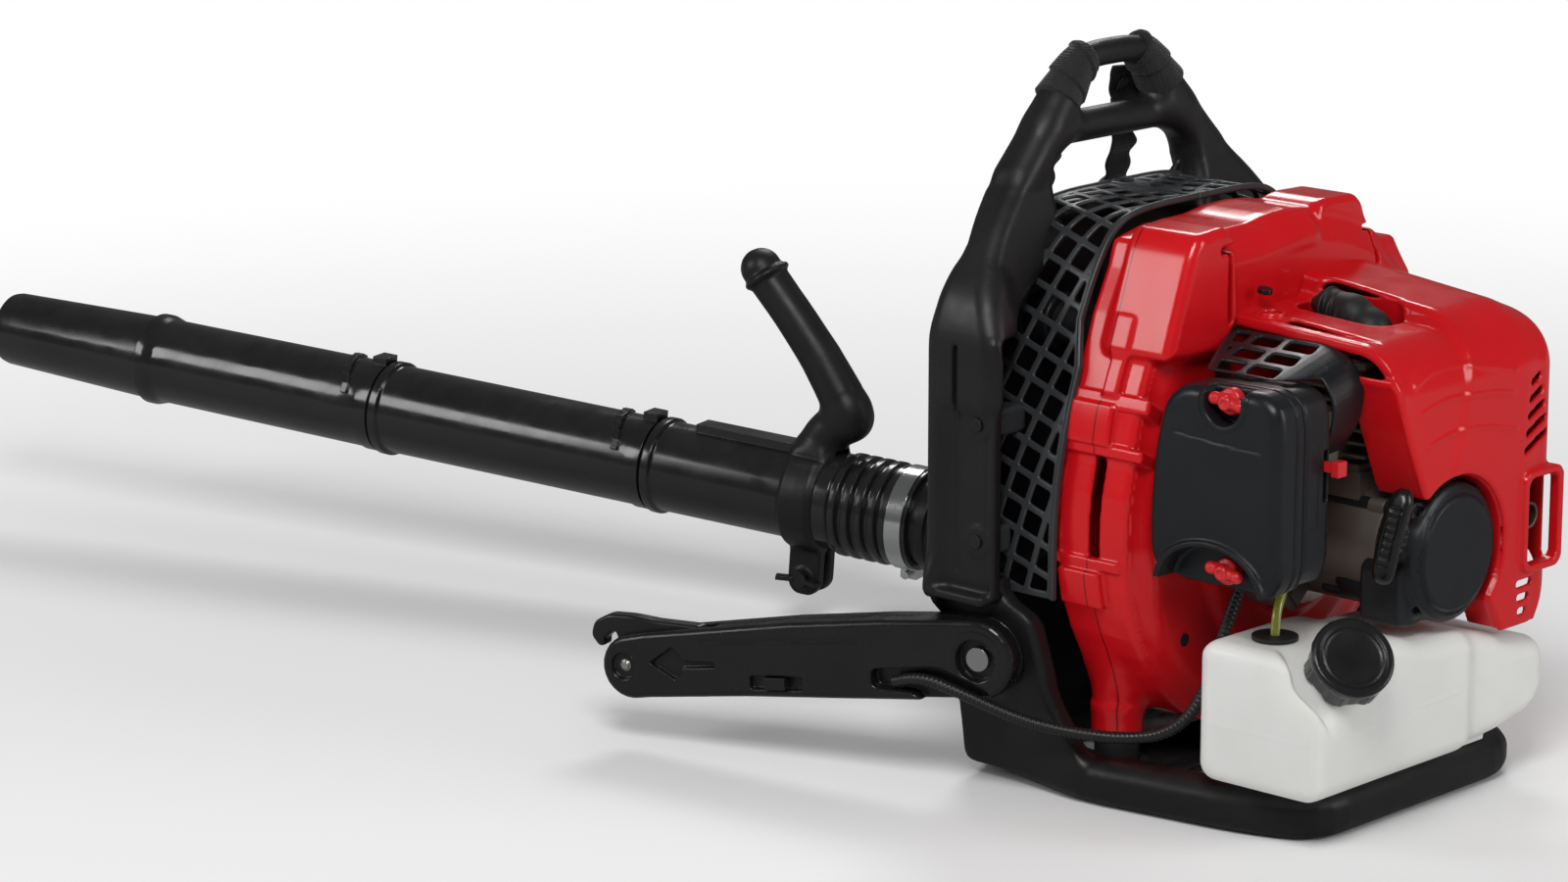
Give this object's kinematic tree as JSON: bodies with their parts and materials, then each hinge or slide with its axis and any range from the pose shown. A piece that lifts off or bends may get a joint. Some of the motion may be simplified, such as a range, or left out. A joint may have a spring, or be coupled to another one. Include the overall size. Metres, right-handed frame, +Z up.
{
  "type": "backpack leaf blower",
  "caption": "Backpack leaf blower with red fan casing and engine cover, black frame and pipe, white fuel tank, hip throttle arm and control handle",
  "frame": {"origin": "on the ground at the middle of the frame's foot, under the back plate", "axes": "+Z up, +Y the way the wearer faces and the pipe points, +X the wearer's right"},
  "size_m": [0.4738, 1.3672, 0.4789],
  "materials": {
    "black_moulding": "satin",
    "satin_black": "satin",
    "red_cover": "gloss",
    "white_tank": "satin",
    "steel": "satin",
    "cast_alloy": "matte",
    "bright_alloy": "satin",
    "rubber": "matte",
    "red_trim": "gloss",
    "fabric_black": "matte",
    "fuel_hose": "satin",
    "filter_felt": "matte",
    "ceramic": "gloss",
    "rope_white": "matte",
    "muffler_steel": "matte"
  },
  "bodies": {
    "machine": {"back_frame": "black_moulding", "back_pad": "fabric_black", "shoulder_strap_left": "fabric_black", "shoulder_strap_right": "fabric_black", "harness_webbing": "fabric_black", "harness_hooks": "steel", "intake_guard_left": "black_moulding", "intake_guard_right": "black_moulding", "guard_screws": "steel", "vibration_mounts": "rubber", "volute_front": "red_cover", "volute_rear": "red_cover", "casing_screws": "steel", "main_bearings": "steel", "crankcase_front": "cast_alloy", "crankcase_rear": "cast_alloy", "engine_cylinder": "cast_alloy", "spark_plug": "ceramic", "plug_boot": "rubber", "ignition_coil": "satin_black", "intake_insulator": "satin_black", "carburettor": "bright_alloy", "intake_shroud": "satin_black", "air_cleaner_case": "satin_black", "air_filter": "filter_felt", "muffler": "muffler_steel", "engine_cover": "red_cover", "starter_housing": "satin_black", "recoil_spring": "steel", "fuel_tank": "white_tank", "tank_grommet": "rubber", "fuel_line": "fuel_hose", "throttle_conduit": "rubber", "elbow": "black_moulding", "band_clamps": "steel"},
    "rotor": {"crankshaft": "steel", "impeller": "black_moulding", "flywheel": "bright_alloy", "starter_dog": "steel"},
    "piston_body": {"piston": "bright_alloy"},
    "reel": {"starter_reel": "satin_black"},
    "pull": {"starter_grip": "satin_black", "starter_rope": "rope_white"},
    "cleaner_cover": {"air_cleaner_cover": "satin_black"},
    "top_knob": {"cover_knob_top": "red_trim"},
    "bottom_knob": {"cover_knob_bottom": "red_trim"},
    "choke": {"choke_lever": "red_trim"},
    "cap_seal": {"cap_gasket": "rubber"},
    "cap": {"fuel_cap": "black_moulding"},
    "arm": {"arm_shell_outer": "satin_black", "arm_shell_inner": "satin_black", "arm_pivot_bolt": "steel"},
    "trigger": {"throttle_lever": "satin_black"},
    "switch": {"stop_switch": "satin_black"},
    "flex": {"flex_pipe": "rubber"},
    "swivel": {"swivel_pipe": "black_moulding"},
    "handle": {"control_handle": "black_moulding"},
    "bolt": {"handle_bolt": "steel"},
    "mid": {"mid_pipe": "black_moulding"},
    "nozzle": {"nozzle_pipe": "black_moulding"}
  },
  "joints": [
    {"name": "crankshaft_spin", "type": "hinge", "parent": "machine", "child": "rotor", "pos_m": [0.012, -0.17, 0.172], "axis": [0, 1, 0], "continuous": true},
    {"name": "piston_stroke", "type": "slide", "parent": "machine", "child": "piston_body", "axis": [0, 0, 1], "range_m": [-0.033, 0]},
    {"name": "starter_pull", "type": "slide", "parent": "machine", "child": "pull", "axis": [-0.9366, -0.3043, 0.1736], "range_m": [0, 0.5]},
    {"name": "reel_turn", "type": "hinge", "parent": "machine", "child": "reel", "pos_m": [0.012, -0.273, 0.172], "axis": [0, 1, 0], "range_deg": [0, 955]},
    {"name": "cleaner_cover_lift", "type": "slide", "parent": "machine", "child": "cleaner_cover", "axis": [-1, 0, 0], "range_m": [0, 0.06]},
    {"name": "top_knob_turn", "type": "hinge", "parent": "cleaner_cover", "child": "top_knob", "pos_m": [-0.14, -0.2175, 0.287], "axis": [1, 0, 0], "range_deg": [0, 90]},
    {"name": "bottom_knob_turn", "type": "hinge", "parent": "cleaner_cover", "child": "bottom_knob", "pos_m": [-0.14, -0.2175, 0.177], "axis": [1, 0, 0], "range_deg": [0, 90]},
    {"name": "choke_turn", "type": "hinge", "parent": "machine", "child": "choke", "pos_m": [-0.095, -0.246, 0.244], "axis": [1, 0, 0], "range_deg": [-25, 0]},
    {"name": "cap_lift", "type": "slide", "parent": "machine", "child": "cap_seal", "axis": [-0.4176, -0.6683, 0.6157], "range_m": [0, 0.005]},
    {"name": "cap_turn", "type": "hinge", "parent": "cap_seal", "child": "cap", "pos_m": [-0.1, -0.278, 0.113], "axis": [-0.4176, -0.6683, 0.6157], "range_deg": [0, 450]},
    {"name": "arm_tilt", "type": "hinge", "parent": "machine", "child": "arm", "pos_m": [-0.17, -0.042, 0.094], "axis": [0.9659, 0.2588, 0], "range_deg": [-18, 12], "deforming": ["throttle_conduit"]},
    {"name": "throttle_squeeze", "type": "hinge", "parent": "arm", "child": "trigger", "pos_m": [-0.23843, 0.21338, 0.05515], "axis": [0.9659, 0.2588, 0], "range_deg": [-15, 0], "stiffness_Nm_per_rad": 0.3},
    {"name": "stop_slide", "type": "slide", "parent": "arm", "child": "switch", "axis": [-0.2574, 0.9606, -0.1045], "range_m": [0, 0.01]},
    {"name": "bellows_pitch", "type": "hinge", "parent": "machine", "child": "flex", "pos_m": [0.08484, 0.26134, 0.09083], "axis": [0.9703, 0.2419, 0], "range_deg": [-12, 12], "deforming": ["flex_pipe"]},
    {"name": "bellows_yaw", "type": "hinge", "parent": "flex", "child": "swivel", "pos_m": [0.08001, 0.2807, 0.09223], "axis": [0.0169, -0.0677, 0.9976], "range_deg": [-14, 14], "deforming": ["flex_pipe"]},
    {"name": "handle_slide", "type": "slide", "parent": "swivel", "child": "handle", "axis": [-0.2413, 0.9679, 0.0698], "range_m": [0, 0.06]},
    {"name": "wing_bolt_turn", "type": "hinge", "parent": "handle", "child": "bolt", "pos_m": [0.06742, 0.33122, 0.03572], "axis": [0.9703, 0.2419, 0], "range_deg": [0, 720]},
    {"name": "mid_twist", "type": "hinge", "parent": "swivel", "child": "mid", "pos_m": [0.03416, 0.46461, 0.10548], "axis": [-0.2413, 0.9679, 0.0698], "range_deg": [0, 30]},
    {"name": "nozzle_twist", "type": "hinge", "parent": "mid", "child": "nozzle", "pos_m": [-0.02497, 0.70175, 0.12257], "axis": [-0.2413, 0.9679, 0.0698], "range_deg": [0, 30]}
  ],
  "couplings": [
    {"joint": "reel_turn", "follows": "starter_pull", "rad_per_m": 33.333},
    {"joint": "cap_turn", "follows": "cap_lift", "rad_per_m": 1570.8}
  ]
}
